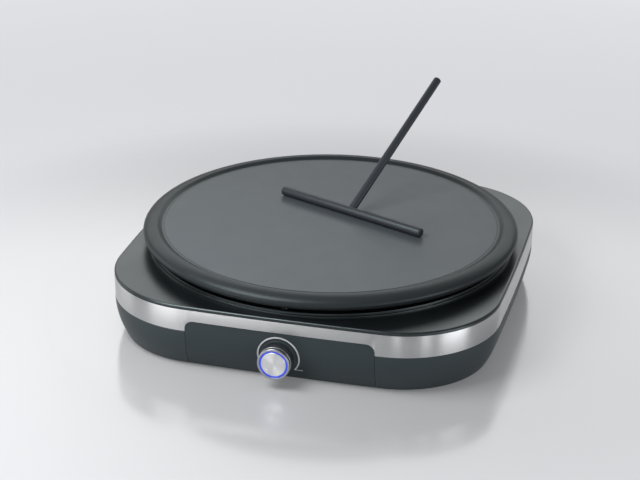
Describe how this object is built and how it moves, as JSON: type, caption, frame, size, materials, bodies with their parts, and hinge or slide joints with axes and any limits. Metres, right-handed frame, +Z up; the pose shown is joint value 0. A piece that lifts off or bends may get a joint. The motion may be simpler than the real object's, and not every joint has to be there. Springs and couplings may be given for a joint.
{
  "type": "electric crepe maker",
  "caption": "Round cast griddle plate with a raised rim over a rounded-square housing with a brushed trim band and a lit temperature knob; a T-shaped batter spreader stands on the plate.",
  "frame": {"origin": "centre of the whole object's footprint box on the surface that the feet stand on", "axes": "+Z up; -Y is the front with the knob, so +Y is the rear with the cord outlet; +X is to the right as seen from the front"},
  "size_m": [0.3372, 0.349, 0.1706],
  "materials": {
    "base_plastic": "black, textured",
    "block_plastic": "off-white nylon",
    "board_laminate": "green laminate",
    "cap_aluminium": "spun face, clear lacquer",
    "ceramic": "glazed ceramic",
    "coated_casting": "dark non-stick coating, satin, on cast aluminium",
    "copper": "bare copper",
    "cover_plastic": "fine-textured dark grey",
    "dial_print": "light grey print",
    "element_sheath": "heat-darkened steel sheath",
    "foot_rubber": "black, matte",
    "gland_rubber": "black, matte",
    "grommet_rubber": "red-brown silicone",
    "housing_plastic": "dark slate, semi-gloss",
    "knob_chrome": "polished",
    "knob_plastic": "black, semi-gloss",
    "lamp_lens": "clear lamp bodies",
    "light_plastic": "translucent blue, lit from behind",
    "pan_steel": "aluminised sheet, dull",
    "panel_plastic": "dark slate, semi-gloss",
    "screw_steel": "zinc-plated screws",
    "spreader_plastic": "dark grey moulded nylon, satin",
    "terminal_brass": "plain brass",
    "trim_steel": "brushed along its length",
    "window_plastic": "clear light guide",
    "wire_blue": "insulation, semi-matte",
    "wire_brown": "insulation, semi-matte",
    "wire_green": "insulation, semi-matte",
    "wire_white": "insulation, semi-matte",
    "zinc_steel": "zinc-plated, dull"
  },
  "bodies": {
    "appliance": {"base_cover": "base_plastic", "block_screws": "screw_steel", "capillary_tube": "copper", "clamp_screws": "screw_steel", "control_panel": "panel_plastic", "control_screws": "screw_steel", "cord_gland": "gland_rubber", "cover_screws": "screw_steel", "dial_arc": "dial_print", "earth_tag": "terminal_brass", "element_clamps": "zinc_steel", "element_insulators": "ceramic", "element_terminals": "terminal_brass", "foot_front_left": "foot_rubber", "foot_front_right": "foot_rubber", "foot_rear_left": "foot_rubber", "foot_rear_right": "foot_rubber", "griddle_plate": "coated_casting", "heating_element": "element_sheath", "lamp_board": "board_laminate", "lamps": "lamp_lens", "light_window": "window_plastic", "lower_housing": "housing_plastic", "pan_grommets": "grommet_rubber", "pan_screws": "screw_steel", "panel_screws": "screw_steel", "plate_screws": "screw_steel", "plate_spacers": "zinc_steel", "reflector_pan": "pan_steel", "saddle_clips": "zinc_steel", "sensor_bulb": "copper", "spade_connectors": "terminal_brass", "terminal_block": "block_plastic", "thermal_fuse": "zinc_steel", "thermostat_blades": "terminal_brass", "thermostat_bracket": "zinc_steel", "thermostat_bush": "terminal_brass", "thermostat_case": "zinc_steel", "thermostat_diaphragm": "zinc_steel", "thermostat_nut": "zinc_steel", "top_cover": "cover_plastic", "trim_band": "trim_steel", "wire_earth": "wire_green", "wire_fused": "wire_blue", "wire_lamp": "wire_white", "wire_live": "wire_brown", "wire_neutral": "wire_blue", "wire_switched": "wire_brown"},
    "knob": {"knob_skirt": "knob_plastic", "knob_ring": "knob_chrome", "knob_bezel": "knob_chrome", "light_ring": "light_plastic", "knob_core": "knob_plastic", "knob_cap": "cap_aluminium", "knob_clip": "screw_steel", "spindle": "zinc_steel", "spindle_retainer": "screw_steel"},
    "adjuster": {"thermostat_adjuster": "terminal_brass"},
    "spreader": {"spreader_bar": "spreader_plastic", "spreader_handle": "spreader_plastic"}
  },
  "joints": [
    {"name": "knob_turn", "type": "hinge", "parent": "appliance", "child": "knob", "pos_m": [0, -0.16055, 0.023], "axis": [0, 1, 0], "range_deg": [0, 260]},
    {"name": "adjuster_feed", "type": "slide", "parent": "knob", "child": "adjuster", "axis": [0, 1, 0], "range_m": [0, 0.0008]},
    {"name": "spreader_lift", "type": "slide", "parent": "appliance", "child": "spreader", "axis": [0, 0, 1], "range_m": [0, 0.15]}
  ],
  "couplings": [
    {"joint": "adjuster_feed", "follows": "knob_turn", "m_per_rad": 0.000176}
  ]
}
